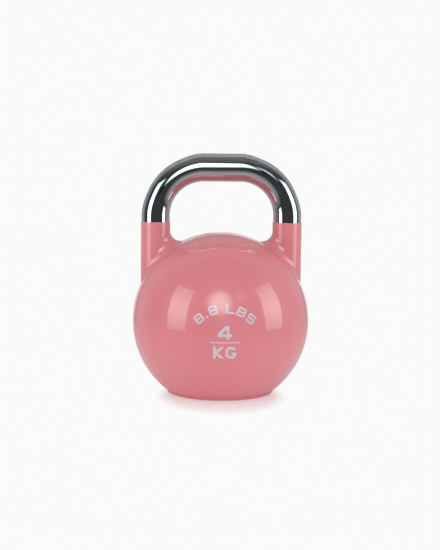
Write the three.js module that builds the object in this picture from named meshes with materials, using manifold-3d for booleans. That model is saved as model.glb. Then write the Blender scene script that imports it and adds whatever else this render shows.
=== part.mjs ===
// A 4 kg competition kettlebell, fabricated: two pressed steel half shells, a flat base plate,
// two horn tubes and a bent grip tube, with the inner rings, spigots and filler plug that hold it
// together. Millimetres, +Z up. The origin is on the floor under the centre of the base, the bar
// of the handle lies along X, and the front of the ball faces -Y.
import * as THREE from 'three';
import { mergeVertices } from 'three/addons/utils/BufferGeometryUtils.js';
import Module from 'manifold-3d';

const wasm = await Module();
wasm.setup();

// ---------------------------------------------------------------- driving dimensions
const overallHeight = 280;        // floor to the top of the bar, the competition standard
const ballRadius = 103.5;
const ballCentreHeight = 84.8;
const shellWall = 2;              // pressed steel sheet
const seamHalfWidth = 1;          // half the root gap that the seam weld fills
const baseThickness = 3;
const basePlateRadius = 60;
const footRadius = 62.2;          // where the painted rim meets the floor
const footChamfer = 0.4;
const gripRadius = 16.5;          // 33 mm bar
const gripWall = 3;
const bendRadius = 56;            // centreline of the two corner bends
const bendFlattening = 0.09;      // the outer wall of a bend lies this share closer to the centreline
const bendBlendAngle = THREE.MathUtils.degToRad(11);
const legOffset = 77;             // from the middle to the axis of each leg and horn
const hornRadius = 17.1;
const hornTopHeight = 200.2;      // where the chrome ends and the paint begins
const hornFootHeight = 118;       // the cut end of the horn, inside the ball
const filletRadius = 12;          // ground weld between horn and ball
const weldEndAngle = THREE.MathUtils.degToRad(40);    // from the horn's outermost side
const spigotLength = 42;
const backingRingHeight = 12;
const backingRingWall = 2;
const fitGap = 0.3;               // between pieces that meet
const fillerBoreRadius = 10;      // thread in the base
const bossWall = 5;
const bossTop = 12;
const bossFlange = { width: 4, thickness: 3 };
const plugHead = { overhang: 2, height: 2 };
const plugLength = 9;
const plugRecess = 0.6;           // the plug sits this far above the floor
const socket = { radius: 5.8, depth: 5 };    // a 10 mm hexagon, measured to its corners
const sealThickness = 1;
const ballastHeight = 8.65;        // trims the whole bell to 4.00 kg
const ballastClearance = { boss: 6, shell: 2 };

// ---------------------------------------------------------------- derived dimensions
const barHeight = overallHeight - gripRadius;
const bendCentreHeight = barHeight - bendRadius;
const barHalfLength = legOffset - bendRadius;
const shellInnerRadius = ballRadius - shellWall;
const gripBoreRadius = gripRadius - gripWall;
const bossRadius = fillerBoreRadius + bossWall;
const plugHeadRadius = fillerBoreRadius + plugHead.overhang;
const sealBottom = plugRecess + plugHead.height + fitGap / 3;
const sealTop = sealBottom + sealThickness;
const bossShoulder = sealTop + fitGap / 3;

// ---------------------------------------------------------------- mesh resolution
const ballSides = 48;
const upperRings = 12;            // from the seam to the pole
const lowerRings = 7;             // from the seam to the base
const tubeSides = 24;
const smallSides = 24;
const gripSteps = 32;
const filletSections = 32;
const filletArcSteps = 5;

// ---------------------------------------------------------------- colours
const paint = () => new THREE.MeshStandardMaterial({ color: 0xd67f88, roughness: 0.25, metalness: 0 });
const chrome = () => new THREE.MeshStandardMaterial({ color: 0xcfd3d6, roughness: 0.08, metalness: 1 });
const bareSteel = () => new THREE.MeshStandardMaterial({ color: 0x8c8f92, roughness: 0.5, metalness: 1 });
const castIron = () => new THREE.MeshStandardMaterial({ color: 0x55565a, roughness: 0.8, metalness: 0.6 });
const fibre = () => new THREE.MeshStandardMaterial({ color: 0x2a2a2c, roughness: 0.8, metalness: 0 });

// ---------------------------------------------------------------- solid helpers

// Signed volume of an indexed triangle list: positive when the faces point out.
function signedVolume(positions, indices) {
  const corners = [new THREE.Vector3(), new THREE.Vector3(), new THREE.Vector3()];
  let volume = 0;
  for (let i = 0; i < indices.length; i += 3) {
    corners.forEach((corner, k) => corner.fromArray(positions, 3 * indices[i + k]));
    volume += corners[0].dot(corners[1].cross(corners[2])) / 6;
  }
  return volume;
}

// Joins a geometry's shared corners into a closed solid with its faces pointing out.
function solid(geometry) {
  const bare = geometry.clone();
  bare.deleteAttribute('normal');
  bare.deleteAttribute('uv');
  const welded = mergeVertices(bare, 1e-4);
  const vertProperties = new Float32Array(welded.attributes.position.array);
  const triVerts = [];
  for (let i = 0; i < welded.index.count; i += 3) {
    const [a, b, c] = [0, 1, 2].map((k) => welded.index.getX(i + k));
    if (a !== b && b !== c && c !== a) triVerts.push(a, b, c);
  }
  if (signedVolume(vertProperties, triVerts) < 0) triVerts.reverse();
  return new wasm.Manifold(new wasm.Mesh({
    numProp: 3,
    vertProperties,
    triVerts: new Uint32Array(triVerts),
  }));
}

// Turns a solid into a named mesh.
function piece(name, body, material) {
  const { vertProperties, triVerts } = body.getMesh();
  const geometry = new THREE.BufferGeometry();
  geometry.setAttribute('position', new THREE.BufferAttribute(vertProperties, 3));
  geometry.setIndex(new THREE.BufferAttribute(triVerts, 1));
  geometry.computeVertexNormals();
  const mesh = new THREE.Mesh(geometry, material);
  mesh.name = name;
  return mesh;
}

// Turns a closed [radius, height] outline around the Z axis.
function turned(outline, sides) {
  const points = outline.map(([radius, height]) => new THREE.Vector2(radius, height));
  return solid(new THREE.LatheGeometry(points, sides).rotateX(Math.PI / 2));
}

// A washer-shaped ring between two radii and two heights.
function ring(innerRadius, outerRadius, bottom, top, sides) {
  return turned([
    [innerRadius, bottom],
    [outerRadius, bottom],
    [outerRadius, top],
    [innerRadius, top],
    [innerRadius, bottom],
  ], sides);
}

// A solid round bar standing on the Z direction.
function rod(radius, bottom, top, sides) {
  return turned([[0, bottom], [radius, bottom], [radius, top], [0, top]], sides);
}

// Outline points on a circle about the ball's centre, between two elevation angles.
function ballArc(radius, fromAngle, toAngle, steps) {
  return Array.from({ length: steps + 1 }, (unused, i) => {
    const angle = THREE.MathUtils.lerp(fromAngle, toAngle, i / steps);
    return [Math.max(0, radius * Math.cos(angle)), ballCentreHeight + radius * Math.sin(angle)];
  });
}

// ---------------------------------------------------------------- handle

// The centreline of the grip: up one leg, round a bend, along the bar and down the other leg.
class HandleLine extends THREE.Curve {
  constructor() {
    super();
    this.bendLength = bendRadius * Math.PI / 2;
    this.legLength = bendCentreHeight - hornTopHeight - fitGap / 2;
    this.halfLength = barHalfLength + this.bendLength + this.legLength;
  }

  getPoint(t, target = new THREE.Vector3()) {
    const along = (2 * t - 1) * this.halfLength;
    const pastBar = Math.abs(along) - barHalfLength;
    const pastBend = pastBar - this.bendLength;
    const side = Math.sign(along);
    if (pastBar <= 0) return target.set(along, 0, barHeight);
    if (pastBend >= 0) return target.set(side * legOffset, 0, bendCentreHeight - pastBend);
    const turn = pastBar / bendRadius;
    const x = barHalfLength + bendRadius * Math.sin(turn);
    return target.set(side * x, 0, bendCentreHeight + bendRadius * Math.cos(turn));
  }
}

// Presses the outer half of each bend a little towards its centreline, as bending leaves it.
function flattenBends(geometry) {
  const position = geometry.attributes.position;
  for (let i = 0; i < position.count; i += 1) {
    const side = Math.sign(position.getX(i));
    const across = Math.abs(position.getX(i)) - barHalfLength;
    const up = position.getZ(i) - bendCentreHeight;
    const distance = Math.hypot(across, up);
    if (across <= 0 || up <= 0 || distance <= bendRadius) continue;
    const turn = Math.atan2(across, up);
    const blendIn = THREE.MathUtils.smoothstep(turn, 0, bendBlendAngle);
    const blendOut = THREE.MathUtils.smoothstep(Math.PI / 2 - turn, 0, bendBlendAngle);
    const pressed = bendRadius + (distance - bendRadius) * (1 - bendFlattening * blendIn * blendOut);
    position.setX(i, side * (barHalfLength + pressed * Math.sin(turn)));
    position.setZ(i, bendCentreHeight + pressed * Math.cos(turn));
  }
  return geometry;
}

function handleTube() {
  const section = new THREE.Shape().absarc(0, 0, gripRadius, 0, 2 * Math.PI);
  section.holes.push(new THREE.Path().absarc(0, 0, gripBoreRadius, 0, 2 * Math.PI, true));
  const swept = new THREE.ExtrudeGeometry(section, {
    extrudePath: new HandleLine(),
    steps: gripSteps,
    curveSegments: tubeSides / 2,
    bevelEnabled: false,
  });
  return solid(flattenBends(swept));
}

// A horn: a painted tube from inside the ball up to the chrome.
function horn(side) {
  const tube = ring(gripBoreRadius, hornRadius, hornFootHeight, hornTopHeight - fitGap / 2, tubeSides);
  return tube.translate([side * legOffset, 0, 0]);
}

// The sleeve that joins a horn to the grip from inside.
function spigot(side) {
  const top = bendCentreHeight - fitGap;
  const outerRadius = gripBoreRadius - fitGap;
  const sleeve = ring(outerRadius - gripWall, outerRadius, top - spigotLength, top, tubeSides);
  return sleeve.translate([side * legOffset, 0, 0]);
}

// One cross-section of the weld between the right horn and the ball, at an angle around the horn.
// Its outer face is the arc that a ball of filletRadius leaves as it rolls round the joint.
function weldSection(around) {
  const outward = new THREE.Vector3(Math.cos(around), Math.sin(around), 0);
  const ballCentre = new THREE.Vector3(0, 0, ballCentreHeight);
  const hornAxis = new THREE.Vector3(legOffset, 0, 0);
  const onBall = (point, radius) => {
    const climb = Math.sqrt(radius ** 2 - point.x ** 2 - point.y ** 2);
    return point.clone().setZ(ballCentreHeight + climb);
  };
  const roller = onBall(
    hornAxis.clone().addScaledVector(outward, hornRadius + filletRadius),
    ballRadius + filletRadius,
  );
  const toHorn = outward.clone().negate();
  const toBall = ballCentre.clone().sub(roller).normalize();
  const span = toHorn.angleTo(toBall);
  const edgeTurn = Math.acos(1 - fitGap / filletRadius);
  const section = [];
  for (let k = 0; k <= filletArcSteps; k += 1) {
    const turn = THREE.MathUtils.lerp(edgeTurn, span - edgeTurn, k / filletArcSteps);
    const spoke = toHorn.clone().multiplyScalar(Math.sin(span - turn));
    spoke.addScaledVector(toBall, Math.sin(turn)).divideScalar(Math.sin(span));
    section.push(roller.clone().addScaledVector(spoke, filletRadius));
  }
  const corner = onBall(
    hornAxis.clone().addScaledVector(outward, hornRadius + fitGap),
    ballRadius + fitGap,
  );
  const underside = corner.clone().lerp(section[filletArcSteps], 0.5);
  section.push(onBall(underside, ballRadius + fitGap), corner);
  return section;
}

// The weld between a horn and the ball. It runs round the inner side of the horn and thins out on
// the outer side, where the horn meets the ball almost level.
function hornWeld(side) {
  const sections = Array.from({ length: filletSections + 1 }, (unused, i) => {
    const around = THREE.MathUtils.lerp(weldEndAngle, 2 * Math.PI - weldEndAngle, i / filletSections);
    return weldSection(around);
  });
  const weld = solid(cappedLoft(sections));
  return side > 0 ? weld : weld.mirror([1, 0, 0]);
}

// Joins a row of closed cross-sections and closes both ends from each section's last point.
function cappedLoft(sections) {
  const perSection = sections[0].length;
  const lastSection = (sections.length - 1) * perSection;
  const corner = perSection - 1;
  const indices = [];
  for (let here = 0; here < lastSection; here += perSection) {
    const next = here + perSection;
    for (let k = 0; k < perSection; k += 1) {
      const after = (k + 1) % perSection;
      indices.push(here + k, next + k, next + after);
      indices.push(here + k, next + after, here + after);
    }
  }
  for (let k = 0; k < corner - 1; k += 1) {
    indices.push(corner, k, k + 1);
    indices.push(lastSection + corner, lastSection + k + 1, lastSection + k);
  }
  const geometry = new THREE.BufferGeometry().setFromPoints(sections.flat());
  geometry.setIndex(indices);
  return geometry;
}

// ---------------------------------------------------------------- ball

// The upper half shell, with a round hole for each horn.
function upperShell() {
  const innerStart = Math.asin(seamHalfWidth / shellInnerRadius);
  const outerStart = Math.asin(seamHalfWidth / ballRadius);
  const shell = turned([
    ...ballArc(shellInnerRadius, Math.PI / 2, innerStart, upperRings),
    ...ballArc(ballRadius, outerStart, Math.PI / 2, upperRings),
  ], ballSides);
  return [-1, 1].reduce((cut, side) => {
    const hole = rod(hornRadius + fitGap, hornFootHeight, overallHeight, tubeSides);
    return cut.subtract(hole.translate([side * legOffset, 0, 0]));
  }, shell);
}

// The lower half shell, cut flat for the base plate.
function lowerShell() {
  const depth = ballCentreHeight - baseThickness;
  const inner = ballArc(
    shellInnerRadius,
    -Math.asin(seamHalfWidth / shellInnerRadius),
    -Math.asin(depth / shellInnerRadius),
    lowerRings,
  );
  const outer = ballArc(
    ballRadius,
    -Math.asin(depth / ballRadius),
    -Math.asin(seamHalfWidth / ballRadius),
    lowerRings,
  );
  return turned([...inner, ...outer, inner[0]], ballSides);
}

// The seam weld, ground flush with the ball.
function equatorWeld() {
  const halfHeight = seamHalfWidth - fitGap;
  return ring(
    shellInnerRadius,
    ballRadius,
    ballCentreHeight - halfHeight,
    ballCentreHeight + halfHeight,
    ballSides,
  );
}

// The flat-bar ring behind the seam, which lines the two shells up.
function backingRing() {
  const halfHeight = backingRingHeight / 2;
  const outerRadius = Math.sqrt(shellInnerRadius ** 2 - halfHeight ** 2) - fitGap;
  return ring(
    outerRadius - backingRingWall,
    outerRadius,
    ballCentreHeight - halfHeight,
    ballCentreHeight + halfHeight,
    ballSides,
  );
}

// ---------------------------------------------------------------- base and filler

function basePlate() {
  return turned([
    [bossRadius + fitGap, 0],
    [basePlateRadius - footChamfer, 0],
    [basePlateRadius, footChamfer],
    [basePlateRadius, baseThickness],
    [bossRadius + fitGap, baseThickness],
    [bossRadius + fitGap, 0],
  ], ballSides);
}

// The weld round the base plate, ground to carry the ball's curve down to the foot.
function baseWeld() {
  const inner = basePlateRadius + fitGap;
  const top = baseThickness - fitGap;
  const shellEdge = Math.sqrt(ballRadius ** 2 - (ballCentreHeight - top) ** 2);
  return turned([
    [inner, footChamfer],
    [footRadius, footChamfer],
    [shellEdge, top],
    [inner, top],
    [inner, footChamfer],
  ], ballSides);
}

// A threaded bush welded through the middle of the base plate.
function fillerBoss() {
  const flangeRadius = bossRadius + bossFlange.width;
  const flangeBottom = baseThickness + fitGap;
  const flangeTop = flangeBottom + bossFlange.thickness;
  const threadRadius = fillerBoreRadius + fitGap;
  const headRoom = plugHeadRadius + fitGap;
  return turned([
    [headRoom, plugRecess / 2],
    [bossRadius, plugRecess / 2],
    [bossRadius, flangeBottom],
    [flangeRadius, flangeBottom],
    [flangeRadius, flangeTop],
    [bossRadius, flangeTop],
    [bossRadius, bossTop],
    [threadRadius, bossTop],
    [threadRadius, bossShoulder],
    [headRoom, bossShoulder],
    [headRoom, plugRecess / 2],
  ], smallSides);
}

// The plug that closes the filler, with a hexagon socket facing down.
function fillerPlug() {
  const headTop = plugRecess + plugHead.height;
  const plug = turned([
    [0, plugRecess],
    [plugHeadRadius, plugRecess],
    [plugHeadRadius, headTop],
    [fillerBoreRadius, headTop],
    [fillerBoreRadius, plugRecess + plugLength],
    [0, plugRecess + plugLength],
  ], smallSides);
  const hexagonSides = 6;
  return plug.subtract(rod(socket.radius, -plugRecess, plugRecess + socket.depth, hexagonSides));
}

function plugSeal() {
  return ring(fillerBoreRadius + fitGap, plugHeadRadius, sealBottom, sealTop, smallSides);
}

// The cast ring on the base plate that trims the bell to its mass.
function ballastRing() {
  const bottom = baseThickness + fitGap;
  const top = bottom + ballastHeight;
  const inner = bossRadius + ballastClearance.boss;
  const shellAtBottom = Math.sqrt(shellInnerRadius ** 2 - (ballCentreHeight - bottom) ** 2);
  const bottomRadius = shellAtBottom - ballastClearance.shell;
  const topRadius = bottomRadius + ballastHeight / 2;
  return turned([
    [inner, bottom],
    [bottomRadius, bottom],
    [topRadius, top],
    [inner, top],
    [inner, bottom],
  ], smallSides);
}

// ---------------------------------------------------------------- assembly
const group = new THREE.Group();

group.add(piece('handle_tube', handleTube(), chrome()));
[['left', -1], ['right', 1]].forEach(([sideName, side]) => {
  group.add(piece(`${sideName}_horn`, horn(side), paint()));
  group.add(piece(`${sideName}_spigot`, spigot(side), bareSteel()));
  group.add(piece(`${sideName}_horn_weld`, hornWeld(side), paint()));
});
group.add(piece('upper_shell', upperShell(), paint()));
group.add(piece('lower_shell', lowerShell(), paint()));
group.add(piece('equator_weld', equatorWeld(), paint()));
group.add(piece('backing_ring', backingRing(), bareSteel()));
group.add(piece('base_plate', basePlate(), paint()));
group.add(piece('base_weld', baseWeld(), paint()));
group.add(piece('filler_boss', fillerBoss(), bareSteel()));
group.add(piece('filler_plug', fillerPlug(), bareSteel()));
group.add(piece('plug_seal', plugSeal(), fibre()));
group.add(piece('ballast_ring', ballastRing(), castIron()));

export default group;
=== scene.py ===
"""A 4 kg competition kettlebell: a glossy pink fabricated ball with a bent, chromed tube handle.

Each painted or chromed CAD node is replaced by a finer mesh of very nearly the same size, worked out
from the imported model. The other nodes keep their shape and get a material. The printed weight mark is
added as thin ink on the front of the ball, which faces -Y.
"""
import math

import bpy
import numpy as np
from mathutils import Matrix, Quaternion, Vector
from mathutils.geometry import delaunay_2d_cdt


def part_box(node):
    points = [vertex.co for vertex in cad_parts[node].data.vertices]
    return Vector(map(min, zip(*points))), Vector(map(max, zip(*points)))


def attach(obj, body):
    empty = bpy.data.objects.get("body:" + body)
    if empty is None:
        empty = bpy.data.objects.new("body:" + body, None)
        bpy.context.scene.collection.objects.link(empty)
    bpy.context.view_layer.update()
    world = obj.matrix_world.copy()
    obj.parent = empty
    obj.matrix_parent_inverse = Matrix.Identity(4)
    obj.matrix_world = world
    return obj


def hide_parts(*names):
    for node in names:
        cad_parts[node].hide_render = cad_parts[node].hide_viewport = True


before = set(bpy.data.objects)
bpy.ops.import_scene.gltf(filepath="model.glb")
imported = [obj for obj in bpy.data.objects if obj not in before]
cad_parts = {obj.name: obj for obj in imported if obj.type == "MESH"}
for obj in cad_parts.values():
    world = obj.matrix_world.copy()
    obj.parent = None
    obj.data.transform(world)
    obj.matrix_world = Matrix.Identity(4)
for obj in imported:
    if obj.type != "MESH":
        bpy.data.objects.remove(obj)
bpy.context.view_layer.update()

MM = 0.001

# ------------------------------------------------------------ sizes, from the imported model


def box_of(node):
    low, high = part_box(node)
    return Vector(low), Vector(high)


seam_low, seam_high = box_of("equator_weld")
grip_low, grip_high = box_of("handle_tube")
horn_low, horn_high = box_of("right_horn")
rim_low, rim_high = box_of("base_weld")
plate_high = box_of("base_plate")[1]

INK_THICKNESS = 0.06 * MM
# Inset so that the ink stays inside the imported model's box
BALL_RADIUS = seam_high.x - INK_THICKNESS
BALL_CENTRE = Vector((0.0, 0.0, (seam_low.z + seam_high.z) / 2))
SEAM_HALF = (seam_high.z - seam_low.z) / 2
GRIP_RADIUS = grip_high.y
LEG_OFFSET = grip_high.x - GRIP_RADIUS
HORN_RADIUS = horn_high.y
HORN_FOOT = horn_low.z
PAINT_LINE = (horn_high.z + grip_low.z) / 2
BAR_HEIGHT = grip_high.z - GRIP_RADIUS
PLATE_RADIUS = plate_high.x
RIM_BOTTOM = rim_low.z
RIM_TOP = rim_high.z
PLATE_TOP = plate_high.z

# Sizes that no box gives
SHELL_WALL = 2 * MM
TUBE_BORE = 13.5 * MM
BEND_RADIUS = 56 * MM
BEND_FLATTENING = 0.09
BEND_BLEND = math.radians(24)
GRIP_SOCKET = 1 * MM
HORN_LIP = 0.35 * MM
UNDER_WELD = 0.2 * MM
FILLET_RADIUS = 12 * MM
FOOT_RADIUS = 62.4 * MM
FOOT_SOFTNESS = 0.7 * MM
FOOT_DRAFT = math.radians(-15)
PLATE_EDGE = 0.5 * MM
BOSS_RADIUS = 15 * MM

BAR_HALF = LEG_OFFSET - BEND_RADIUS
BEND_CENTRE_Z = BAR_HEIGHT - BEND_RADIUS
# How far along the line from the ball's centre to the fillet's own centre the two surfaces meet
CONTACT_SHARE = BALL_RADIUS / (BALL_RADIUS + FILLET_RADIUS)

# Mesh fineness
AROUND_BALL = 144
RING_STEP = math.radians(2.5)
AROUND_HORN = 96
FILLET_STEPS = 12
AROUND_GRIP = 72
ALONG_BEND = 48
ALONG_STRAIGHT = 4 * MM
LIP_STEPS = 5
WALL_STEPS = 10
CORNER_STEPS = 6
# How far the upper shell's inner points stay from the edge of a weld
BESIDE_WELD = 1.2 * MM
SHARP_ANGLE = math.radians(35)
# A point nearer than this to a surface is on it, and points nearer than this are one
ON_SURFACE = 1e-6
SAME_SPOT = 1e-7

# ------------------------------------------------------------ node materials


class Nodes:
    """Short calls for building a node tree."""

    def __init__(self, tree, coordinates):
        self.tree = tree
        self.coords = self.node("TexCoord").outputs[coordinates]

    def node(self, kind, **settings):
        made = self.tree.nodes.new("ShaderNode" + kind)
        for key, value in settings.items():
            setattr(made, key, value)
        return made

    def feed(self, socket, value):
        """Links an output to a socket, or sets the socket to a colour or a number."""
        if isinstance(value, bpy.types.NodeSocket):
            self.tree.links.new(value, socket)
        elif isinstance(value, tuple):
            socket.default_value = (*value, 1.0)
        else:
            socket.default_value = value

    def scaled(self, scale, shift=(0.0, 0.0, 0.0)):
        """The coordinates stretched by a factor on each axis, then shifted."""
        made = self.node("Mapping")
        made.inputs["Scale"].default_value = scale
        made.inputs["Location"].default_value = shift
        self.feed(made.inputs["Vector"], self.coords)
        return made.outputs["Vector"]

    def noise(self, scale, detail=2.0, roughness=0.5, stretch=None):
        made = self.node("TexNoise")
        self.feed(made.inputs["Scale"], scale)
        self.feed(made.inputs["Detail"], detail)
        self.feed(made.inputs["Roughness"], roughness)
        self.feed(made.inputs["Vector"], self.scaled(stretch) if stretch else self.coords)
        return made.outputs["Fac"]

    def ramp(self, value, low, high, to_low=0.0, to_high=1.0, kind="LINEAR"):
        """to_low where the value is at most low, to_high where it is at least high."""
        made = self.node("MapRange", interpolation_type=kind)
        self.feed(made.inputs["Value"], value)
        self.feed(made.inputs["From Min"], low)
        self.feed(made.inputs["From Max"], high)
        self.feed(made.inputs["To Min"], to_low)
        self.feed(made.inputs["To Max"], to_high)
        return made.outputs["Result"]

    def smooth(self, value, low, high):
        return self.ramp(value, low, high, kind="SMOOTHSTEP")

    def math(self, operation, *values):
        made = self.node("Math", operation=operation)
        for socket, value in zip(made.inputs, values):
            self.feed(socket, value)
        return made.outputs[0]

    def length(self, vector):
        made = self.node("VectorMath", operation="LENGTH")
        self.feed(made.inputs[0], vector)
        return made.outputs["Value"]

    def brighten(self, colour, factor):
        made = self.node("VectorMath", operation="SCALE")
        self.feed(made.inputs[0], colour)
        self.feed(made.inputs["Scale"], factor)
        return made.outputs["Vector"]

    def axis(self, name):
        made = self.node("SeparateXYZ")
        self.feed(made.inputs["Vector"], self.coords)
        return made.outputs[name]

    def mix(self, factor, first, second):
        """Blends two colours. Inputs 6 and 7 and output 2 are the Mix node's colour sockets."""
        made = self.node("Mix", data_type="RGBA")
        self.feed(made.inputs["Factor"], factor)
        self.feed(made.inputs[6], first)
        self.feed(made.inputs[7], second)
        return made.outputs[2]

    def bump(self, height, distance, strength=1.0, under=None):
        made = self.node("Bump")
        self.feed(made.inputs["Height"], height)
        self.feed(made.inputs["Distance"], distance)
        self.feed(made.inputs["Strength"], strength)
        if under is not None:
            self.feed(made.inputs["Normal"], under)
        return made.outputs["Normal"]


class MaterialNodes(Nodes):
    """The node tree of a new material. Its noise scales count features in a metre."""

    def __init__(self, name):
        self.material = bpy.data.materials.new(name)
        self.material.use_nodes = True
        super().__init__(self.material.node_tree, "Object")
        self.shader = self.tree.nodes["Principled BSDF"]

    def set(self, **values):
        """Feeds the shader's sockets, each named with _ for a space."""
        for key, value in values.items():
            self.feed(self.shader.inputs[key.replace("_", " ")], value)

    def surface(self, output):
        """Shows another shader's output in place of the Principled one."""
        self.feed(self.tree.nodes["Material Output"].inputs["Surface"], output)


PAINT_DEEP = (0.640, 0.184, 0.208)
PAINT_PALE = (0.662, 0.198, 0.222)
CHROME_CLEAN = (0.580, 0.588, 0.590)
CHROME_SMUDGED = (0.560, 0.566, 0.566)
INK_THICK = (0.600, 0.500, 0.545)
INK_THIN = (0.590, 0.420, 0.465)
STEEL_CLEAN = (0.33, 0.33, 0.34)
STEEL_STAINED = tuple(channel * 0.7 for channel in STEEL_CLEAN)
IRON_DARK = (0.06, 0.06, 0.065)
IRON_LIGHT = (0.13, 0.125, 0.12)
FIBRE_DARK = (0.02, 0.02, 0.02)
FIBRE_LIGHT = (0.05, 0.045, 0.04)


def paint_material():
    """Glossy two-layer paint: a faintly uneven pink under a clear coat with slight orange peel."""
    nodes = MaterialNodes("glossy_pink_paint")
    nodes.set(IOR=1.5, Specular_IOR_Level=0.3)
    nodes.set(Coat_Weight=1.0, Coat_Roughness=0.015, Coat_IOR=1.5)
    patches = nodes.ramp(nodes.noise(9.0, detail=3.0), 0.35, 0.65)
    uneven = nodes.ramp(nodes.noise(60.0, detail=4.0), 0.3, 0.7, 0.34, 0.42)
    nodes.set(Base_Color=nodes.mix(patches, PAINT_DEEP, PAINT_PALE), Roughness=uneven)
    peel = nodes.bump(nodes.noise(240.0, detail=1.0), 0.02 * MM, 0.5)
    wave = nodes.bump(nodes.noise(28.0, detail=1.0), 0.06 * MM, 0.5, under=peel)
    nodes.set(Normal=peel, Coat_Normal=wave)
    return nodes.material


def chrome_material():
    """Bright chrome over a polished tube, with faint polishing marks and hand smudges."""
    nodes = MaterialNodes("polished_chrome")
    smudge = nodes.ramp(nodes.noise(22.0, detail=5.0, roughness=0.65), 0.4, 0.72)
    nodes.set(Metallic=1.0, Base_Color=nodes.mix(smudge, CHROME_CLEAN, CHROME_SMUDGED))
    nodes.set(Roughness=nodes.ramp(smudge, 0.0, 1.0, 0.035, 0.075))
    lines = nodes.noise(900.0, detail=3.0, stretch=(0.06, 1.0, 1.0))
    fine = nodes.bump(lines, 0.003 * MM, 0.6)
    ripple = nodes.noise(34.0, detail=1.0)
    nodes.set(Normal=nodes.bump(ripple, 0.02 * MM, 0.5, under=fine))
    return nodes.material


def ink_material():
    """Pale screen-printed ink, a little thinner in places so that the pink warms it."""
    nodes = MaterialNodes("pale_marking_ink")
    nodes.set(Roughness=0.4, IOR=1.5, Coat_Weight=0.6, Coat_Roughness=0.08)
    thin = nodes.ramp(nodes.noise(420.0, detail=4.0, roughness=0.7), 0.35, 0.75)
    nodes.set(Base_Color=nodes.mix(thin, INK_THICK, INK_THIN))
    nodes.set(Normal=nodes.bump(nodes.noise(900.0), 0.01 * MM, 0.4))
    return nodes.material


def steel_material():
    """Bare machined steel with tool lines and a little stain."""
    nodes = MaterialNodes("turned_steel")
    stain = nodes.ramp(nodes.noise(45.0, detail=5.0, roughness=0.6), 0.35, 0.7)
    nodes.set(Metallic=1.0, Base_Color=nodes.mix(stain, STEEL_CLEAN, STEEL_STAINED))
    nodes.set(Roughness=nodes.ramp(stain, 0.0, 1.0, 0.28, 0.5))
    lines = nodes.noise(260.0, detail=3.0, stretch=(1.0, 1.0, 14.0))
    nodes.set(Normal=nodes.bump(lines, 0.03 * MM, 0.6))
    return nodes.material


def iron_material():
    """Sand-cast iron, dark and grainy."""
    nodes = MaterialNodes("cast_iron")
    grain = nodes.noise(700.0, detail=4.0)
    nodes.set(Metallic=0.8, Roughness=0.75, Base_Color=nodes.mix(grain, IRON_DARK, IRON_LIGHT))
    nodes.set(Normal=nodes.bump(grain, 0.2 * MM, 0.7))
    return nodes.material


def fibre_material():
    """Dark vulcanised fibre."""
    nodes = MaterialNodes("seal_fibre")
    grain = nodes.noise(1500.0, detail=3.0, stretch=(1.0, 1.0, 4.0))
    nodes.set(Roughness=0.8, Base_Color=nodes.mix(grain, FIBRE_DARK, FIBRE_LIGHT))
    nodes.set(Normal=nodes.bump(grain, 0.05 * MM, 0.6))
    return nodes.material


PAINT = paint_material()
CHROME = chrome_material()
INK = ink_material()
STEEL = steel_material()
IRON = iron_material()
FIBRE = fibre_material()

# ------------------------------------------------------------ mesh helpers


def make_piece(name, points, faces, material, exact=None):
    """Makes a smooth mesh object. exact holds each point's true surface normal, or None."""
    mesh = bpy.data.meshes.new(name)
    mesh.from_pydata([tuple(point) for point in points], [], faces)
    mesh.update()
    mesh.shade_smooth()
    mesh.set_sharp_from_angle(angle=SHARP_ANGLE)
    if exact is not None:
        mesh.normals_split_custom_set(exact_loop_normals(mesh, exact))
    mesh.materials.append(material)
    piece = bpy.data.objects.new(name, mesh)
    bpy.context.scene.collection.objects.link(piece)
    return piece


def exact_loop_normals(mesh, exact):
    """The true normal on each corner of a face that follows it, and zero, for automatic, elsewhere."""
    follows = math.cos(SHARP_ANGLE)
    normals = [(0.0, 0.0, 0.0)] * len(mesh.loops)
    for face in mesh.polygons:
        for loop_index in face.loop_indices:
            normal = exact[mesh.loops[loop_index].vertex_index]
            if normal is not None and face.normal.dot(normal) > follows:
                normals[loop_index] = tuple(normal)
    return normals


def adopt(piece, node):
    """Lets a piece stand for a CAD node on the one rigid body."""
    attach(piece, "root")
    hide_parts(node)


def loft(rings):
    """Quads between closed rings of equal length, and from the last ring to the first."""
    count = len(rings[0])
    faces = []
    for i in range(len(rings)):
        here = i * count
        ahead = (i + 1) % len(rings) * count
        for k in range(count):
            after = (k + 1) % count
            faces.append((here + k, here + after, ahead + after, ahead + k))
    points = [point for ring in rings for point in ring]
    return points, faces


def turn_outline(outline):
    """Rings made by turning (radius, height) points about the Z axis."""
    angles = [2 * math.pi * k / AROUND_BALL for k in range(AROUND_BALL)]
    rings = []
    for radius, height in outline:
        rings.append([Vector((radius * math.cos(a), radius * math.sin(a), height)) for a in angles])
    return rings


def ball_outline(radius, from_angle, to_angle):
    """(radius, height) points along a ball about the ball's centre, between two elevation angles."""
    count = max(1, round(abs(to_angle - from_angle) / RING_STEP))
    angles = [from_angle + (to_angle - from_angle) * i / count for i in range(count + 1)]
    return [(radius * math.cos(a), BALL_CENTRE.z + radius * math.sin(a)) for a in angles]


def ball_normals(points):
    """The radial direction at each point that lies on the ball, and None elsewhere."""
    normals = []
    for point in points:
        spoke = point - BALL_CENTRE
        on_ball = abs(spoke.length - BALL_RADIUS) < ON_SURFACE
        normals.append(spoke.normalized() if on_ball else None)
    return normals


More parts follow.
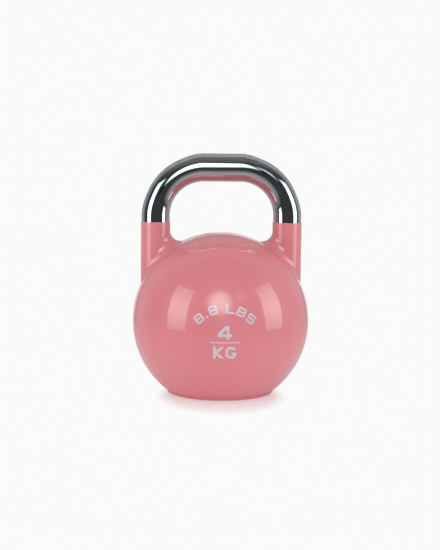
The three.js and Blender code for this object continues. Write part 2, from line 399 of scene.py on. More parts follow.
def thicken(sheet_points, sheet_faces, push):
    """Closes an open sheet into a thin solid. push gives the point behind each sheet point."""
    count = len(sheet_points)
    points = list(sheet_points) + [push(point) for point in sheet_points]
    faces = [tuple(face) for face in sheet_faces]
    faces += [tuple(index + count for index in reversed(face)) for face in sheet_faces]
    edges = set()
    for face in sheet_faces:
        for k, start in enumerate(face):
            edges.add((start, face[(k + 1) % len(face)]))
    for start, end in edges:
        if (end, start) not in edges:
            faces.append((end, start, start + count, end + count))
    return points, faces


# ------------------------------------------------------------ handle


def handle_centreline():
    """(point, outward direction, turn angle) along the grip, from the left leg to the right."""
    places = []
    leg_bottom = PAINT_LINE - GRIP_SOCKET
    leg_steps = math.ceil((BEND_CENTRE_Z - PAINT_LINE) / ALONG_STRAIGHT)
    for i in range(leg_steps):
        height = leg_bottom + (BEND_CENTRE_Z - leg_bottom) * i / leg_steps
        places.append((LEG_OFFSET, height, math.pi / 2))
    for i in range(ALONG_BEND):
        turn = math.pi / 2 * (1 - i / ALONG_BEND)
        x = BAR_HALF + BEND_RADIUS * math.sin(turn)
        places.append((x, BEND_CENTRE_Z + BEND_RADIUS * math.cos(turn), turn))
    bar_steps = math.ceil(BAR_HALF / ALONG_STRAIGHT)
    for i in range(bar_steps):
        places.append((BAR_HALF * (1 - i / bar_steps), BAR_HEIGHT, 0.0))

    def station(side, x, z, turn):
        outward = Vector((side * math.sin(turn), 0.0, math.cos(turn)))
        return Vector((side * x, 0.0, z)), outward, turn

    left = [station(-1, *place) for place in places]
    right = [station(1, *place) for place in places]
    return left + [station(1, 0.0, BAR_HEIGHT, 0.0)] + right[::-1]


def smoothstep(value):
    value = min(1.0, max(0.0, value))
    return value * value * (3 - 2 * value)


def grip_ring(station, radius):
    """One ring of the tube. In the bends the outer half lies a little closer to the centreline."""
    centre, outward, turn = station
    blend = smoothstep(turn / BEND_BLEND) * smoothstep((math.pi / 2 - turn) / BEND_BLEND)
    ring = []
    for k in range(AROUND_GRIP):
        angle = 2 * math.pi * k / AROUND_GRIP
        rise = radius * math.cos(angle)
        if rise > 0:
            rise *= 1 - BEND_FLATTENING * blend
        ring.append(centre + outward * rise + Vector((0.0, radius * math.sin(angle), 0.0)))
    return ring


def build_handle():
    stations = handle_centreline()
    outside = [grip_ring(station, GRIP_RADIUS) for station in stations]
    inside = [grip_ring(station, TUBE_BORE) for station in stations]
    points, faces = loft(inside + outside[::-1])
    adopt(make_piece("chromed_grip", points, faces, CHROME), "handle_tube")


# ------------------------------------------------------------ horns and their welds


def roller_at(around):
    """Centre of the ball that rolls round the joint of the right horn, at an angle about it."""
    reach = HORN_RADIUS + FILLET_RADIUS
    x = LEG_OFFSET + reach * math.cos(around)
    y = reach * math.sin(around)
    z = BALL_CENTRE.z + math.sqrt((BALL_RADIUS + FILLET_RADIUS) ** 2 - x * x - y * y)
    return Vector((x, y, z))


def on_ball_above(x, y, radius):
    """The place over (x, y) on the upper half of a ball about the ball's centre."""
    return Vector((x, y, BALL_CENTRE.z + math.sqrt(radius * radius - x * x - y * y)))


def mirrored(points, faces, exact):
    """The same mesh on the left side."""
    flip = Vector((-1.0, 1.0, 1.0))
    return (
        [point * flip for point in points],
        [tuple(reversed(face)) for face in faces],
        [None if normal is None else normal * flip for normal in exact],
    )


def weld_mesh():
    """The ground weld: a smooth fillet outside, and the root that fills the shell's hole."""
    rings = []
    exact = []
    for i in range(AROUND_HORN):
        around = 2 * math.pi * i / AROUND_HORN
        outward = Vector((math.cos(around), math.sin(around), 0.0))
        roller = roller_at(around)
        to_ball = (BALL_CENTRE - roller).normalized()
        span = (-outward).angle(to_ball)
        ring = []
        for k in range(FILLET_STEPS + 1):
            turn = span * k / FILLET_STEPS
            spoke = (-outward * math.sin(span - turn) + to_ball * math.sin(turn)) / math.sin(span)
            ring.append(roller + spoke * FILLET_RADIUS)
            exact.append(-spoke)
        edge = ring[-1] + to_ball * SHELL_WALL
        root = outward * HORN_RADIUS + Vector((LEG_OFFSET, 0.0, 0.0))
        ring += [edge, on_ball_above(root.x, root.y, BALL_RADIUS - SHELL_WALL)]
        exact += [None, None]
        rings.append(ring)
    points, faces = loft(rings)
    return points, faces, exact


def horn_mesh():
    """The painted tube: a rounded lip round the chrome, the wall, and the foot inside the ball."""
    rings = []
    exact = []

    def add(radius, height_at, is_wall=False):
        ring = []
        for i in range(AROUND_HORN):
            around = 2 * math.pi * i / AROUND_HORN
            outward = Vector((math.cos(around), math.sin(around), 0.0))
            ring.append(Vector((LEG_OFFSET, 0.0, height_at(around))) + outward * radius)
            exact.append(outward if is_wall else None)
        rings.append(ring)

    add(TUBE_BORE, lambda a: PAINT_LINE - GRIP_SOCKET)
    add(GRIP_RADIUS, lambda a: PAINT_LINE - GRIP_SOCKET)
    wall_top = PAINT_LINE - HORN_LIP
    for k in range(LIP_STEPS + 1):
        angle = math.pi / 2 * k / LIP_STEPS
        height = wall_top + HORN_LIP * math.cos(angle)
        add(HORN_RADIUS - HORN_LIP + HORN_LIP * math.sin(angle), lambda a: height)
    for k in range(1, WALL_STEPS + 1):
        share = k / WALL_STEPS
        add(HORN_RADIUS, lambda a: wall_top + (roller_at(a).z - wall_top) * share, is_wall=True)
    add(HORN_RADIUS - UNDER_WELD, lambda a: roller_at(a).z)
    add(HORN_RADIUS - UNDER_WELD, lambda a: HORN_FOOT)
    add(TUBE_BORE, lambda a: HORN_FOOT)
    points, faces = loft(rings)
    faces = [tuple(reversed(face)) for face in faces]
    return points, faces, exact


def build_horns():
    for side_name, mirror in (("left", True), ("right", False)):
        for kind, mesh in (("horn", horn_mesh()), ("horn_weld", weld_mesh())):
            points, faces, exact = mirrored(*mesh) if mirror else mesh
            name = f"{side_name}_{kind}"
            adopt(make_piece(f"{name}_painted", points, faces, PAINT, exact), name)


# ------------------------------------------------------------ ball


def ball_place(spot):
    """The place on the ball that a flat spot stands for: far from the centre is far from the pole."""
    polar = math.hypot(*spot)
    around = math.atan2(spot[1], spot[0])
    ring = BALL_RADIUS * math.sin(polar)
    return BALL_CENTRE + Vector((
        ring * math.cos(around), ring * math.sin(around), BALL_RADIUS * math.cos(polar),
    ))


def flat_spot(point):
    """The flat spot that stands for a place on the ball."""
    spoke = point - BALL_CENTRE
    polar = math.acos(spoke.z / BALL_RADIUS)
    around = math.atan2(spoke.y, spoke.x)
    return (polar * math.cos(around), polar * math.sin(around))


def beside_hole(point, margin):
    """Whether a place on the ball is inside the edge of a weld, or within a margin of it."""
    hole_centre = LEG_OFFSET * CONTACT_SHARE
    hole_radius = (HORN_RADIUS + FILLET_RADIUS) * CONTACT_SHARE
    return math.hypot(abs(point.x) - hole_centre, point.y) < hole_radius + margin


def shell_edge_loops(edge_polar):
    """The upper shell's edges as loops of flat spots: its rim, then the edge of each weld."""
    rim = [2 * math.pi * k / AROUND_BALL for k in range(AROUND_BALL)]
    loops = [[(edge_polar * math.cos(a), edge_polar * math.sin(a)) for a in rim]]
    for side in (1, -1):
        contacts = []
        for i in range(AROUND_HORN):
            roller = roller_at(2 * math.pi * i / AROUND_HORN)
            contact = BALL_CENTRE + (roller - BALL_CENTRE) * CONTACT_SHARE
            contacts.append(flat_spot(Vector((contact.x * side, contact.y, contact.z))))
        loops.append(contacts)
    return loops


def shell_inner_spots(edge_polar):
    """Flat spots in staggered rings round the pole, clear of the welds."""
    spots = []
    ring_count = round(edge_polar / RING_STEP)
    for i in range(ring_count):
        polar = edge_polar * i / ring_count
        count = max(1, round(AROUND_BALL * math.sin(polar)))
        for k in range(count):
            around = 2 * math.pi * (k + 0.5 * (i % 2)) / count
            spot = (polar * math.cos(around), polar * math.sin(around))
            if not beside_hole(ball_place(spot), BESIDE_WELD):
                spots.append(spot)
    return spots


def upper_shell_sheet():
    """A triangle net over the upper half of the ball, open where each horn's weld begins."""
    edge_polar = math.pi / 2 - math.asin(SEAM_HALF / BALL_RADIUS)
    spots = []
    edges = []
    for loop in shell_edge_loops(edge_polar):
        start = len(spots)
        spots += loop
        edges += [(start + k, start + (k + 1) % len(loop)) for k in range(len(loop))]
    spots += shell_inner_spots(edge_polar)
    spots = [Vector(spot) for spot in spots]
    flat, _, triangles, *_ = delaunay_2d_cdt(spots, edges, [], 1, SAME_SPOT)
    points = [ball_place(spot) for spot in flat]
    faces = []
    for triangle in triangles:
        middle = sum((points[index] for index in triangle), Vector()) / len(triangle)
        on_ball = BALL_CENTRE + (middle - BALL_CENTRE).normalized() * BALL_RADIUS
        if not beside_hole(on_ball, 0.0):
            faces.append(tuple(triangle))
    return points, faces


def toward_centre(point):
    spoke = point - BALL_CENTRE
    return BALL_CENTRE + spoke * (1 - SHELL_WALL / BALL_RADIUS)


def build_turned(name, node, outline, follows_ball=True):
    """A painted piece made by turning a closed outline about the Z axis."""
    points, faces = loft(turn_outline(outline))
    exact = ball_normals(points) if follows_ball else None
    adopt(make_piece(name, points, faces, PAINT, exact), node)


def build_ball():
    points, faces = thicken(*upper_shell_sheet(), toward_centre)
    piece = make_piece("upper_shell_painted", points, faces, PAINT, ball_normals(points))
    adopt(piece, "upper_shell")

    bottom = -math.asin((BALL_CENTRE.z - RIM_TOP) / BALL_RADIUS)
    seam = math.asin(SEAM_HALF / BALL_RADIUS)
    for node, low, high in (("lower_shell", bottom, -seam), ("equator_weld", -seam, seam)):
        outline = ball_outline(BALL_RADIUS, low, high)
        outline += ball_outline(BALL_RADIUS - SHELL_WALL, high, low)
        build_turned(f"{node}_painted", node, outline)


# ------------------------------------------------------------ base


def round_corner(centre, radius, to_angle):
    """Outline points round a corner, from straight down to an angle."""
    down = -math.pi / 2
    angles = [down + (to_angle - down) * k / CORNER_STEPS for k in range(CORNER_STEPS + 1)]
    return [(centre[0] + radius * math.cos(a), centre[1] + radius * math.sin(a)) for a in angles]


def build_base():
    shell_edge = math.sqrt(BALL_RADIUS ** 2 - (BALL_CENTRE.z - RIM_TOP) ** 2)
    corner = (FOOT_RADIUS - FOOT_SOFTNESS, RIM_BOTTOM + FOOT_SOFTNESS)
    rim = [(PLATE_RADIUS, RIM_TOP), (PLATE_RADIUS, RIM_BOTTOM)]
    rim += round_corner(corner, FOOT_SOFTNESS, FOOT_DRAFT)
    rim.append((shell_edge, RIM_TOP))
    build_turned("foot_rim_painted", "base_weld", rim)

    plate = [(BOSS_RADIUS, PLATE_TOP), (BOSS_RADIUS, PLATE_EDGE), (BOSS_RADIUS + PLATE_EDGE, 0.0)]
    plate += round_corner((PLATE_RADIUS - PLATE_EDGE, PLATE_EDGE), PLATE_EDGE, 0.0)
    plate.append((PLATE_RADIUS, PLATE_TOP))
    build_turned("base_plate_painted", "base_plate", plate, follows_ball=False)


# ------------------------------------------------------------ printed weight mark

# In millimetres over the ball's surface. Heights run up from the point straight in front of the
# ball's centre: "up" is a shape's middle, and "centre" is that of the arc the letters stand on.
FIGURE = {"width": 16.2, "height": 15.4, "stroke": 3.3, "up": 0.3}
RULE = {"width": 33.4, "height": 1.4, "up": -11.0}
UNIT = {"width": 12.4, "height": 14.2, "stroke": 3.2, "gap": 1.4, "up": -22.6}
POUNDS = {"text": "8.8 LBS", "radius": 42.7, "centre": -15.6, "width": 10.4, "height": 10.8,
          "stroke": 2.3, "gap": 2.7}
DOT_WIDTH = 2.6
SPACE_WIDTH = 4.0
MARK_CELL = 0.25
LOOP_ROUNDING = 0.55
# The least share of a grid cell's side that the outline cuts off, so that no sliver is made
LEAST_SHARE = 0.03


def box_distance(x, y, centre, half, corner=0.0):
    """Signed distance from a box with rounded corners, less than zero inside."""
    dx = np.abs(x - centre[0]) - half[0] + corner
    dy = np.abs(y - centre[1]) - half[1] + corner
    outside = np.hypot(np.maximum(dx, 0.0), np.maximum(dy, 0.0))
    return outside + np.minimum(np.maximum(dx, dy), 0.0) - corner


def band_distance(x, y, centre, half, corner, stroke):
    """Signed distance from a stroke whose outer edge is a rounded box."""
    middle = (half[0] - stroke / 2, half[1] - stroke / 2)
    return np.abs(box_distance(x, y, centre, middle, corner)) - stroke / 2


def bar_distance(x, y, start, end, stroke):
    """Signed distance from a straight bar with square ends."""
    along = np.array(end) - np.array(start)
    length = np.hypot(*along)
    along = along / length
    middle = (np.array(start) + np.array(end)) / 2
    forward = (x - middle[0]) * along[0] + (y - middle[1]) * along[1]
    sideways = (y - middle[1]) * along[0] - (x - middle[0]) * along[1]
    return box_distance(forward, sideways, (0, 0), (length / 2, stroke / 2))


# Each function below gives the signed distance from a bold, wide character, or from a part of one,
# that is centred on the origin. w and h are half the character's width and height.


def left_stem(x, y, w, h, stroke):
    return box_distance(x, y, (-w + stroke / 2, 0), (stroke / 2, h))


def two_loops(x, y, w, h, stroke, rounding=LOOP_ROUNDING):
    """The upper and the lower loop of an 8, a B or an S. They share the middle stroke."""
    half = (w, (2 * h + stroke) / 4)
    up = h - half[1]
    return [band_distance(x, y, (0, side * up), half, rounding * half[1], stroke) for side in (1, -1)]


def glyph_8(x, y, w, h, stroke):
    return np.minimum(*two_loops(x, y, w, h, stroke))


def glyph_b(x, y, w, h, stroke):
    square_left = np.maximum(np.minimum(*two_loops(x, y, w, h, stroke, rounding=0.0)), x)
    left_side = np.minimum(square_left, left_stem(x, y, w, h, stroke))
    return np.minimum(glyph_8(x, y, w, h, stroke), left_side)


def glyph_s(x, y, w, h, stroke):
    upper, lower = two_loops(x, y, w, h, stroke)
    gap_half = (1.2 * stroke, (2 * h - 3 * stroke) / 4)
    gap_up = (2 * h - stroke) / 4
    upper = np.maximum(upper, -box_distance(x, y, (w, gap_up), gap_half))
    lower = np.maximum(lower, -box_distance(x, y, (-w, -gap_up), gap_half))
    return np.minimum(upper, lower)


def glyph_l(x, y, w, h, stroke):
    foot = box_distance(x, y, (0, -h + stroke / 2), (w, stroke / 2))
    return np.minimum(left_stem(x, y, w, h, stroke), foot)


def glyph_k(x, y, w, h, stroke):
    knee = (-w + 0.9 * stroke, 0)
    arms = [bar_distance(x, y, knee, (w, side * 1.25 * h), 1.05 * stroke) for side in (1, -1)]
    whole = np.minimum(left_stem(x, y, w, h, stroke), np.minimum(*arms))
    return np.maximum(whole, box_distance(x, y, (0, 0), (w, h)))


def glyph_g(x, y, w, h, stroke):
    ring = band_distance(x, y, (0, 0), (w, h), 0.5 * h, stroke)
    gap = box_distance(x, y, (w, 0.22 * h), (1.1 * stroke, 0.22 * h))
    tongue = box_distance(x, y, (0.55 * w, -0.35 * stroke), (0.45 * w, 0.4 * stroke))
    return np.minimum(np.maximum(ring, -gap), tongue)


def glyph_4(x, y, w, h, stroke):
    stem_x = 0.42 * w
    rung_y = -0.42 * h
    rung_bottom = rung_y - stroke / 2
    stem = box_distance(x, y, (stem_x, 0), (stroke / 2, h))
    rung = box_distance(x, y, (0, rung_y), (w, stroke / 2))
    slope = bar_distance(x, y, (stem_x, h), (-w, rung_y), 1.15 * stroke)
    inside = box_distance(x, y, (0, (h + rung_bottom) / 2), (w, (h - rung_bottom) / 2))
    return np.minimum(np.minimum(stem, rung), np.maximum(slope, inside))


def glyph_dot(x, y, w, h, stroke):
    return box_distance(x, y, (0, -h + stroke / 2), (stroke / 2, stroke / 2))


GLYPHS = {
    "8": glyph_8, "B": glyph_b, "S": glyph_s, "L": glyph_l,
    "K": glyph_k, "G": glyph_g, "4": glyph_4, ".": glyph_dot,
}


def filled_net(distance, width, height):
    """Faces over the part of a grid where the distance is below zero, cut along the zero line."""
    margin = 2 * MARK_CELL
    columns = math.ceil((width + 2 * margin) / MARK_CELL)
    rows = math.ceil((height + 2 * margin) / MARK_CELL)
    across = (np.arange(columns + 1) - columns / 2) * MARK_CELL
    upward = (np.arange(rows + 1) - rows / 2) * MARK_CELL
    x, y = np.meshgrid(across, upward)
    values = distance(x, y)
    points = []
    found = {}
    faces = []

    def point_at(key, spot):
        if key not in found:
            found[key] = len(points)
            points.append(spot)
        return found[key]

    for row in range(rows):
        for column in range(columns):
            corners = [(row, column), (row, column + 1), (row + 1, column + 1), (row + 1, column)]
            if min(values[corner] for corner in corners) >= 0:
                continue
            face = []
            for k, here in enumerate(corners):
                ahead = corners[(k + 1) % 4]
                if values[here] < 0:
                    face.append(point_at(here, (x[here], y[here])))
                if (values[here] < 0) != (values[ahead] < 0):
                    share = values[here] / (values[here] - values[ahead])
                    share = min(max(share, LEAST_SHARE), 1 - LEAST_SHARE)
                    spot = (
                        x[here] + (x[ahead] - x[here]) * share,
                        y[here] + (y[ahead] - y[here]) * share,
                    )
                    face.append(point_at(tuple(sorted((here, ahead))), spot))
            faces.append(tuple(face))
    return points, faces


def onto_ball(across, upward, radius):
    """A place on the front of the ball, at a distance across and upward over its surface."""
    turn = math.hypot(across, upward) * MM / BALL_RADIUS
    heading = math.atan2(upward, across)
    return BALL_CENTRE + radius * Vector((
        math.sin(turn) * math.cos(heading), -math.cos(turn), math.sin(turn) * math.sin(heading),
    ))


def print_shape(name, distance, width, height, place):
    """Thin ink on the ball. place moves a point of the flat shape to its place in the mark."""
    flat, faces = filled_net(distance, width, height)
    spots = [place(*spot) for spot in flat]
    sheet = [onto_ball(*spot, BALL_RADIUS + INK_THICKNESS) for spot in spots]
    points, faces = thicken(
        sheet, faces, lambda point: BALL_CENTRE + (point - BALL_CENTRE).normalized() * BALL_RADIUS,
    )
    piece = make_piece(name, points, faces, INK)
    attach(piece, "root")


def print_letter(name, letter, size, place):
    width, height, stroke = size
    print_shape(
        name, lambda x, y: GLYPHS[letter](x, y, width / 2, height / 2, stroke), width, height, place,
    )


def raised(across, up):
    """Puts an upright shape at its place in the mark."""
    return lambda x, y: (x + across, y + up)


def along_arc(angle):
    """Puts a letter on the arc, turned to stand upright on it."""
    radius = POUNDS["radius"]

    def place(x, y):
        return (
            (radius + y) * math.sin(angle) + x * math.cos(angle),
            POUNDS["centre"] + (radius + y) * math.cos(angle) - x * math.sin(angle),
        )
    return place


def build_mark():
    figure_size = (FIGURE["width"], FIGURE["height"], FIGURE["stroke"])
    print_letter("mark_figure_4", "4", figure_size, raised(0, FIGURE["up"]))
    print_shape(
        "mark_rule",
        lambda x, y: box_distance(x, y, (0, 0), (RULE["width"] / 2, RULE["height"] / 2)),
        RULE["width"], RULE["height"], raised(0, RULE["up"]),
    )
    unit_size = (UNIT["width"], UNIT["height"], UNIT["stroke"])
    for letter, side in (("K", -1), ("G", 1)):
        across = side * (UNIT["width"] + UNIT["gap"]) / 2
        print_letter(f"mark_unit_{letter}", letter, unit_size, raised(across, UNIT["up"]))

    widths = {".": DOT_WIDTH, " ": SPACE_WIDTH}
    advances = [widths.get(letter, POUNDS["width"]) for letter in POUNDS["text"]]
    total = sum(advances) + POUNDS["gap"] * (len(advances) - 1)
    start = -total / 2
    for index, (letter, advance) in enumerate(zip(POUNDS["text"], advances)):
        if letter != " ":
            angle = (start + advance / 2) / POUNDS["radius"]
            size = (advance, POUNDS["height"], POUNDS["stroke"])
            print_letter(f"mark_pounds_{index + 1}", letter, size, along_arc(angle))
        start += advance + POUNDS["gap"]


build_handle()
build_horns()
build_ball()
build_base()
build_mark()

# ------------------------------------------------------------ carried-over CAD nodes

CARRIED = {
    "left_spigot": STEEL,
    "right_spigot": STEEL,
    "backing_ring": STEEL,
    "filler_boss": STEEL,
    "filler_plug": STEEL,
    "plug_seal": FIBRE,
    "ballast_ring": IRON,
}
for node_name, node_material in CARRIED.items():
    node = bpy.data.objects[node_name]
    for material_slot in node.material_slots:
        material_slot.material = node_material

# ------------------------------------------------------------ studio

CAMERA_DISTANCE = 1.5
CAMERA_HEIGHT = 0.3035
CAMERA_SWING = math.radians(-2.9)
CAMERA_ROLL = math.radians(0.60)
CAMERA_AIM = Vector((-0.0011, 0.0, 0.1376))
CAMERA_LENS = 84.04

# What the camera sees round the object, and the even light that falls on it
WHITE = 0.956
AMBIENT_FRONT = 1.09
AMBIENT_BACK = 1.23

# The room that reflections see. Directions run from -1 to 1, with Y to the back and Z up.
ROOM_FRONT = (0.055, 0.055, 0.058)
ROOM_SIDES = (0.44, 0.46, 0.49)
ROOM_LEAN = 0.10
ROOM_SIDES_FROM = (-0.15, 0.60)
ROOM_FRAME = (0.26, 0.26, 0.27)
ROOM_FRAME_FROM = (0.79, 0.86)
ROOM_WHITE_FROM = (0.88, 0.95)
CEILING_FRONT = (0.20, 0.20, 0.20)
CEILING_BACK = (0.50, 0.53, 0.52)
CEILING_BACK_FROM = (0.06, 0.14)
CEILING_FROM = (0.55, 0.98)
STREAK_STRETCH = (15.0, 15.0, 2.0)
STREAK_SHADES = (0.60, 1.40)

# The floor that the camera sees, an ellipse set forward. Its shadow fades out towards its edge.
# Low in red, and topped up to white by the floor's glow, so that its shadow comes out pink: a painted
# pink tint in the shadow
FLOOR_COLOUR = (0.41, 0.55, 0.54)
FLOOR_WIDTH = 0.158
FLOOR_DEPTH = 0.220
FLOOR_FORWARD = 0.030
FLOOR_FADE_FROM = 0.70

# The light that comes up from the floor: pink beside the foot, and pale from PINK_REACH on
PINK_REACH = 0.11
BOUNCE_CORE = 0.18
CONTACT_WIDTH = 1.5 * MM
REFLECTION_PINK = (0.50, 0.30, 0.34)
REFLECTION_PALE = (0.56, 0.56, 0.56)
REFLECTION_RADIUS = 0.70
REFLECTION_HEIGHT = -1 * MM
SOFT_PINK = (0.99, 0.70, 0.75)
SOFT_PALE = (1.03, 0.99, 0.99)
SOFT_RADIUS = 0.40
SOFT_HEIGHT = 0.2 * MM

# The lamps that only reflections see: two upright softboxes and two round lights in front
CARD_COLOUR = (0.78, 0.98, 1.0)
LEFT_AZIMUTH = math.radians(-57.5)
RIGHT_AZIMUTH = math.radians(65.5)
STRIP_DISTANCE = 0.665
STRIP_HEIGHT = 0.285
STRIP_WIDTH = 0.32
STRIP_LENGTH = 0.595
STRIP_RADIANCE = 3.6
STRIP_END_SHARE = 0.45
FRONT_AZIMUTH = math.radians(-4)
FRONT_DISTANCE = 0.90
FRONT_HEIGHT = 0.575
FRONT_RADIUS = 0.33
FRONT_RADIANCE = 5.4
BEND_LIGHT_AZIMUTH = math.radians(27)
BEND_LIGHT_HEIGHT = 0.68
BEND_LIGHT_RADIUS = 0.19
BEND_LIGHT_RADIANCE = 1.1
HOT_CENTRE = 0.40


def add_stage(name, points, faces, material):
    mesh = bpy.data.meshes.new(name)
    mesh.from_pydata([tuple(point) for point in points], [], faces)
    mesh.materials.append(material)
    made = bpy.data.objects.new(name, mesh)
    bpy.context.scene.collection.objects.link(made)
    return made


def stage_ring(name, material, height, inner, outer, forward=0.0):
    """A flat ring that faces up, from a circle round the foot out to an ellipse set forward."""
    angles = [2 * math.pi * k / AROUND_BALL for k in range(AROUND_BALL)]
    points = [(inner * math.cos(a), inner * math.sin(a), height) for a in angles]
    points += [(outer[0] * math.cos(a), outer[1] * math.sin(a) - forward, height) for a in angles]
    faces = []
    for k in range(AROUND_BALL):
        after = (k + 1) % AROUND_BALL
        faces.append((k, k + AROUND_BALL, after + AROUND_BALL, after))
    return add_stage(name, points, faces, material)


def hidden_from_below(nodes, fading):
    """How far a floor surface is clear: by its fading from above, and wholly from below."""
    return nodes.math("MAXIMUM", fading, nodes.node("NewGeometry").outputs["Backfacing"])


def studio_floor():
    """A pale floor that soon fades into the white round it, and holds the contact shadow.

    Its own glow makes up what its colour takes from the even light, so that it is white where
    nothing shades it. The colour is low in red, so the shadow on it takes a painted pink tint.
    """
    nodes = MaterialNodes("pale_floor")
    ambient = (AMBIENT_FRONT + AMBIENT_BACK) / 2
    glow = tuple(WHITE - ambient * channel for channel in FLOOR_COLOUR)
    nodes.set(Base_Color=FLOOR_COLOUR, Roughness=0.9, Specular_IOR_Level=0.0)
    nodes.set(Emission_Color=glow, Emission_Strength=1.0)
    x = FLOOR_WIDTH / 2
    y = FLOOR_DEPTH / 2
    outward = nodes.length(nodes.scaled((1 / x, 1 / y, 1.0), (0.0, FLOOR_FORWARD / y, 0.0)))
    fading = nodes.smooth(outward, FLOOR_FADE_FROM, 1.0)
    nodes.set(Alpha=nodes.math("SUBTRACT", 1.0, hidden_from_below(nodes, fading)))
    floor = stage_ring("studio_floor", nodes.material, 0.0, PLATE_RADIUS, (x, y), FLOOR_FORWARD)
    floor.visible_glossy = False


def floor_bounce(name, height, pink, pale, radius):
    """A ring of light from the floor: none under the foot, pink beside it, pale, then none."""
    nodes = MaterialNodes(name)
    distance = nodes.length(nodes.coords)
    from_foot = nodes.ramp(distance, FOOT_RADIUS, PINK_REACH)
    strength = nodes.ramp(distance, FOOT_RADIUS - CONTACT_WIDTH, FOOT_RADIUS + CONTACT_WIDTH)
    fading = nodes.ramp(distance, BOUNCE_CORE, radius)
    glow = nodes.node("Emission")
    nodes.feed(glow.inputs["Color"], nodes.mix(from_foot, pink, pale))
    nodes.feed(glow.inputs["Strength"], strength)
    mixed = nodes.node("MixShader")
    nodes.feed(mixed.inputs["Fac"], hidden_from_below(nodes, fading))
    nodes.feed(mixed.inputs[1], glow.outputs["Emission"])
    nodes.feed(mixed.inputs[2], nodes.node("BsdfTransparent").outputs["BSDF"])
    nodes.surface(mixed.outputs["Shader"])
    ring = stage_ring(name, nodes.material, height, PLATE_RADIUS, (radius, radius))
    ring.visible_camera = False
    ring.visible_shadow = False
    return ring


def floor_light():
    """What reflections see of the floor, and the soft light that it casts, set separately."""
    seen = floor_bounce(
        "floor_reflection", REFLECTION_HEIGHT, REFLECTION_PINK, REFLECTION_PALE, REFLECTION_RADIUS,
    )
    seen.visible_diffuse = False
    cast = floor_bounce("floor_soft_light", SOFT_HEIGHT, SOFT_PINK, SOFT_PALE, SOFT_RADIUS)
    cast.visible_glossy = False


def around_object(azimuth, distance, height):
    """A place round the object. The azimuth runs from the front, and plus is to the right."""
    return Vector((distance * math.sin(azimuth), -distance * math.cos(azimuth), height))


def glow_card(name, centre, width, height, radiance, share_at):
    """A glowing panel that faces the ball. share_at gives its strength over it, 0 to 1.

    The camera doesn't see it, but the object reflects it.
    """
    nodes = MaterialNodes(name)
    glow = nodes.node("Emission")
    nodes.feed(glow.inputs["Color"], CARD_COLOUR)
    nodes.feed(glow.inputs["Strength"], nodes.math("MULTIPLY", share_at(nodes), radiance))
    nodes.surface(glow.outputs["Emission"])
    x = width / 2
    y = height / 2
    card = add_stage(name, [(-x, -y, 0), (x, -y, 0), (x, y, 0), (-x, y, 0)], [(0, 1, 2, 3)],
                     nodes.material)
    card.location = centre
    card.rotation_euler = (BALL_CENTRE - centre).to_track_quat("-Z", "Y").to_euler()
    card.visible_camera = False
    card.visible_diffuse = False


def softbox(name, azimuth):
    """An upright softbox, at full strength near mid height and weaker at its ends."""
    def share_at(nodes):
        from_middle = nodes.math("ABSOLUTE", nodes.axis("Y"))
        return nodes.ramp(from_middle, 0.1 * STRIP_LENGTH, 0.5 * STRIP_LENGTH, 1.0, STRIP_END_SHARE)

    centre = around_object(azimuth, STRIP_DISTANCE, STRIP_HEIGHT)
    glow_card(name, centre, STRIP_WIDTH, STRIP_LENGTH, STRIP_RADIANCE, share_at)


def round_light(name, azimuth, height, radius, radiance):
    """A round light in front, with a hot centre that falls away to nothing at the radius."""
    def share_at(nodes):
        return nodes.ramp(nodes.length(nodes.coords), HOT_CENTRE * radius, radius, 1.0, 0.0)

    centre = around_object(azimuth, FRONT_DISTANCE, height)
    glow_card(name, centre, 2 * radius, 2 * radius, radiance, share_at)


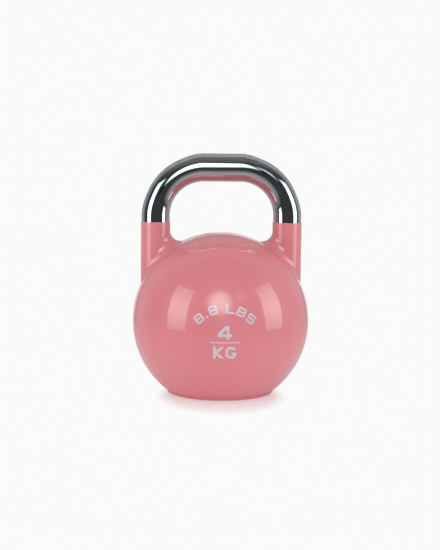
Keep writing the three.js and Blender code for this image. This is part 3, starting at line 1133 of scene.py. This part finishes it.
def reflected_room(nodes):
    """A dark front, grey sides, and a white patch straight behind in a darker frame.

    The ceiling is grey, and faint upright streaks stand for the things in a room.
    """
    across = nodes.axis("X")
    back = nodes.axis("Y")
    leaning = nodes.math("MULTIPLY_ADD", across, ROOM_LEAN, back)
    walls = nodes.mix(nodes.smooth(leaning, *ROOM_SIDES_FROM), ROOM_FRONT, ROOM_SIDES)
    walls = nodes.mix(nodes.smooth(back, *ROOM_FRAME_FROM), walls, ROOM_FRAME)
    walls = nodes.mix(nodes.smooth(back, *ROOM_WHITE_FROM), walls, (WHITE,) * 3)
    ceiling = nodes.mix(nodes.smooth(back, *CEILING_BACK_FROM), CEILING_FRONT, CEILING_BACK)
    room = nodes.mix(nodes.smooth(nodes.axis("Z"), *CEILING_FROM), walls, ceiling)
    streaks = nodes.noise(1.0, stretch=STREAK_STRETCH)
    return nodes.brighten(room, nodes.ramp(streaks, 0.3, 0.7, *STREAK_SHADES))


def studio_world():
    """White to the camera, the room to reflections, and an even soft light to all else."""
    world = bpy.data.worlds.new("studio")
    world.use_nodes = True
    nodes = Nodes(world.node_tree, "Generated")
    rays = nodes.node("LightPath")
    to_back = nodes.smooth(nodes.axis("Y"), -1.0, 1.0)
    even = nodes.mix(to_back, (AMBIENT_FRONT,) * 3, (AMBIENT_BACK,) * 3)
    lit = nodes.mix(rays.outputs["Is Glossy Ray"], even, reflected_room(nodes))
    shown = nodes.mix(rays.outputs["Is Camera Ray"], lit, (WHITE,) * 3)
    nodes.feed(nodes.tree.nodes["Background"].inputs["Color"], shown)
    bpy.context.scene.world = world


def photo_camera():
    camera_data = bpy.data.cameras.new("photo_camera")
    camera_data.lens = CAMERA_LENS
    camera = bpy.data.objects.new("photo_camera", camera_data)
    camera.location = around_object(CAMERA_SWING, CAMERA_DISTANCE, CAMERA_HEIGHT)
    look = (CAMERA_AIM - camera.location).to_track_quat("-Z", "Y")
    camera.rotation_euler = (look @ Quaternion((0.0, 0.0, 1.0), CAMERA_ROLL)).to_euler()
    bpy.context.scene.collection.objects.link(camera)
    bpy.context.scene.camera = camera


studio_floor()
floor_light()
studio_world()
softbox("left_softbox", LEFT_AZIMUTH)
softbox("right_softbox", RIGHT_AZIMUTH)
round_light("front_light", FRONT_AZIMUTH, FRONT_HEIGHT, FRONT_RADIUS, FRONT_RADIANCE)
round_light(
    "bend_light", BEND_LIGHT_AZIMUTH, BEND_LIGHT_HEIGHT, BEND_LIGHT_RADIUS, BEND_LIGHT_RADIANCE,
)
photo_camera()
bpy.context.scene.view_settings.view_transform = "Standard"
